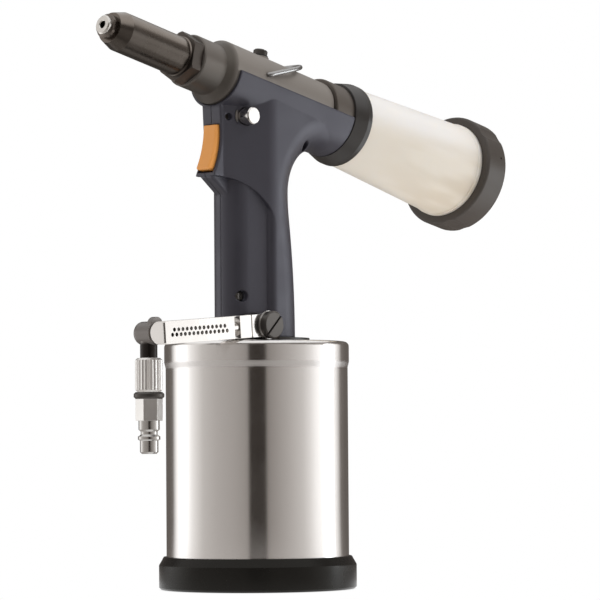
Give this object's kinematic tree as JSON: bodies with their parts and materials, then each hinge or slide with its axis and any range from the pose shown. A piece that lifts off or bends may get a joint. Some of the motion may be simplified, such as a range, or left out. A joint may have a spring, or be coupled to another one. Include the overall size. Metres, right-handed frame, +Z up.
{
  "type": "air hydraulic riveter",
  "caption": "Pistol-shaped air hydraulic blind riveter standing on its steel air cylinder, with a tilted pulling head, a mandrel tank behind it and a swivelling air inlet.",
  "frame": {"origin": "centre of the foot's underside, on the axis of the air cylinder", "axes": "+Z up the air cylinder; the nose points to -X and up, the tank to +X, the inlet arm is on -Y"},
  "size_m": [0.288, 0.104, 0.2957],
  "materials": {
    "foot_plastic": "satin black",
    "ring_plastic": "satin black",
    "cylinder_steel": "polished stainless",
    "casting_alloy": "anodised warm grey",
    "housing_alloy": "dark anodised",
    "nose_steel": "dark turned steel",
    "tip_steel": "turned steel",
    "cover_plastic": "satin dark blue-grey",
    "trigger_plastic": "satin orange",
    "tank_plastic": "milky translucent",
    "cap_plastic": "satin dark grey",
    "chrome": "bright plated",
    "elbow_black": "semi-gloss black",
    "dark_steel": "blackened",
    "seal_rubber": "matt",
    "washer_alloy": "plain",
    "inner_alloy": "turned",
    "bush_brass": "turned",
    "ground_steel": "ground",
    "spring_steel": "wire"
  },
  "bodies": {
    "frame": {"base_cover": "foot_plastic", "air_cylinder": "cylinder_steel", "snap_ring": "ground_steel", "bottom_plate": "inner_alloy", "plate_seal": "seal_rubber", "head_frame": "casting_alloy", "lock_plate": "ring_plastic", "cylinder_nut": "ground_steel", "ram_gland": "bush_brass", "gland_seal": "seal_rubber", "frame_head": "nose_steel", "lock_nut": "nose_steel", "nosepiece": "tip_steel", "rod_gland": "bush_brass", "rear_housing": "housing_alloy", "tank_ring": "ring_plastic", "mandrel_tank": "tank_plastic", "left_cover": "cover_plastic", "right_cover": "cover_plastic", "cover_screws": "dark_steel", "trigger_pin": "tip_steel", "valve_bush": "bush_brass", "valve_spring": "spring_steel", "return_spring": "spring_steel", "plug_washer": "seal_rubber", "oil_plug": "dark_steel", "banjo_eye": "chrome", "muffler_block": "chrome", "muffler_core": "dark_steel", "banjo_washers": "washer_alloy", "banjo_bolt": "dark_steel", "elbow_pin": "ground_steel"},
    "ram_unit": {"air_piston": "inner_alloy", "piston_seal": "seal_rubber", "ram": "ground_steel", "ram_nut": "ground_steel"},
    "puller": {"oil_piston": "ground_steel", "piston_packing": "seal_rubber", "jaw_case": "ground_steel", "jaw_spring": "spring_steel"},
    "jaw_a": {"jaw_1": "ground_steel"},
    "jaw_b": {"jaw_2": "ground_steel"},
    "jaw_c": {"jaw_3": "ground_steel"},
    "pusher": {"jaw_pusher": "ground_steel"},
    "trigger": {"trigger": "trigger_plastic"},
    "valve": {"valve_rod": "ground_steel"},
    "suction_button": {"suction_button": "chrome"},
    "hanger": {"hanger": "dark_steel"},
    "elbow": {"elbow": "elbow_black"},
    "plug_unit": {"swivel_collar": "chrome", "swivel_washer": "elbow_black", "hex_adaptor": "chrome", "air_plug": "chrome"},
    "tank_cap": {"tank_cap": "cap_plastic"}
  },
  "joints": [
    {"name": "ram_lift", "type": "slide", "parent": "frame", "child": "ram_unit", "axis": [0, 0, 1], "range_m": [0, 0.0666]},
    {"name": "pull", "type": "slide", "parent": "frame", "child": "puller", "axis": [0.9759, 0, -0.2181], "range_m": [0, 0.018], "deforming": ["return_spring"]},
    {"name": "jaw_a_grip", "type": "slide", "parent": "puller", "child": "jaw_a", "axis": [-0.9999, 0, 0.0105], "range_m": [0, 0.00225]},
    {"name": "jaw_b_grip", "type": "slide", "parent": "puller", "child": "jaw_b", "axis": [-0.9319, -0.1801, 0.3148], "range_m": [0, 0.00225]},
    {"name": "jaw_c_grip", "type": "slide", "parent": "puller", "child": "jaw_c", "axis": [-0.9319, 0.1801, 0.3148], "range_m": [0, 0.00225]},
    {"name": "jaw_push", "type": "slide", "parent": "puller", "child": "pusher", "axis": [-0.9759, 0, 0.2181], "range_m": [0, 0.0022], "deforming": ["jaw_spring"]},
    {"name": "trigger_pull", "type": "hinge", "parent": "frame", "child": "trigger", "pos_m": [-0.028, 0, 0.2466], "axis": [0, -1, 0], "range_deg": [0, 10], "stiffness_Nm_per_rad": 0.6},
    {"name": "valve_push", "type": "slide", "parent": "frame", "child": "valve", "axis": [1, 0, 0], "range_m": [0, 0.0034], "deforming": ["valve_spring"]},
    {"name": "suction_press", "type": "slide", "parent": "frame", "child": "suction_button", "axis": [0, 1, 0], "range_m": [0, 0.0025]},
    {"name": "hanger_swing", "type": "hinge", "parent": "frame", "child": "hanger", "pos_m": [-0.00735, 0, 0.26924], "axis": [0, -1, 0], "range_deg": [0, 125]},
    {"name": "elbow_swing", "type": "hinge", "parent": "frame", "child": "elbow", "pos_m": [-0.0888, -0.01, 0.13222], "axis": [0, 1, 0], "range_deg": [-25, 175]},
    {"name": "plug_spin", "type": "hinge", "parent": "elbow", "child": "plug_unit", "pos_m": [-0.0888, -0.01, 0.1025], "axis": [0, 0, 1], "continuous": true},
    {"name": "cap_off", "type": "slide", "parent": "frame", "child": "tank_cap", "axis": [0.9759, 0, -0.2181], "range_m": [0, 0.03]}
  ],
  "couplings": [
    {"joint": "pull", "follows": "ram_lift", "ratio": 0.2702},
    {"joint": "jaw_a_grip", "follows": "ram_lift", "ratio": 0.03377},
    {"joint": "jaw_b_grip", "follows": "ram_lift", "ratio": 0.03377},
    {"joint": "jaw_c_grip", "follows": "ram_lift", "ratio": 0.03377},
    {"joint": "jaw_push", "follows": "ram_lift", "ratio": 0.03303},
    {"joint": "valve_push", "follows": "trigger_pull", "m_per_rad": 0.0192}
  ]
}
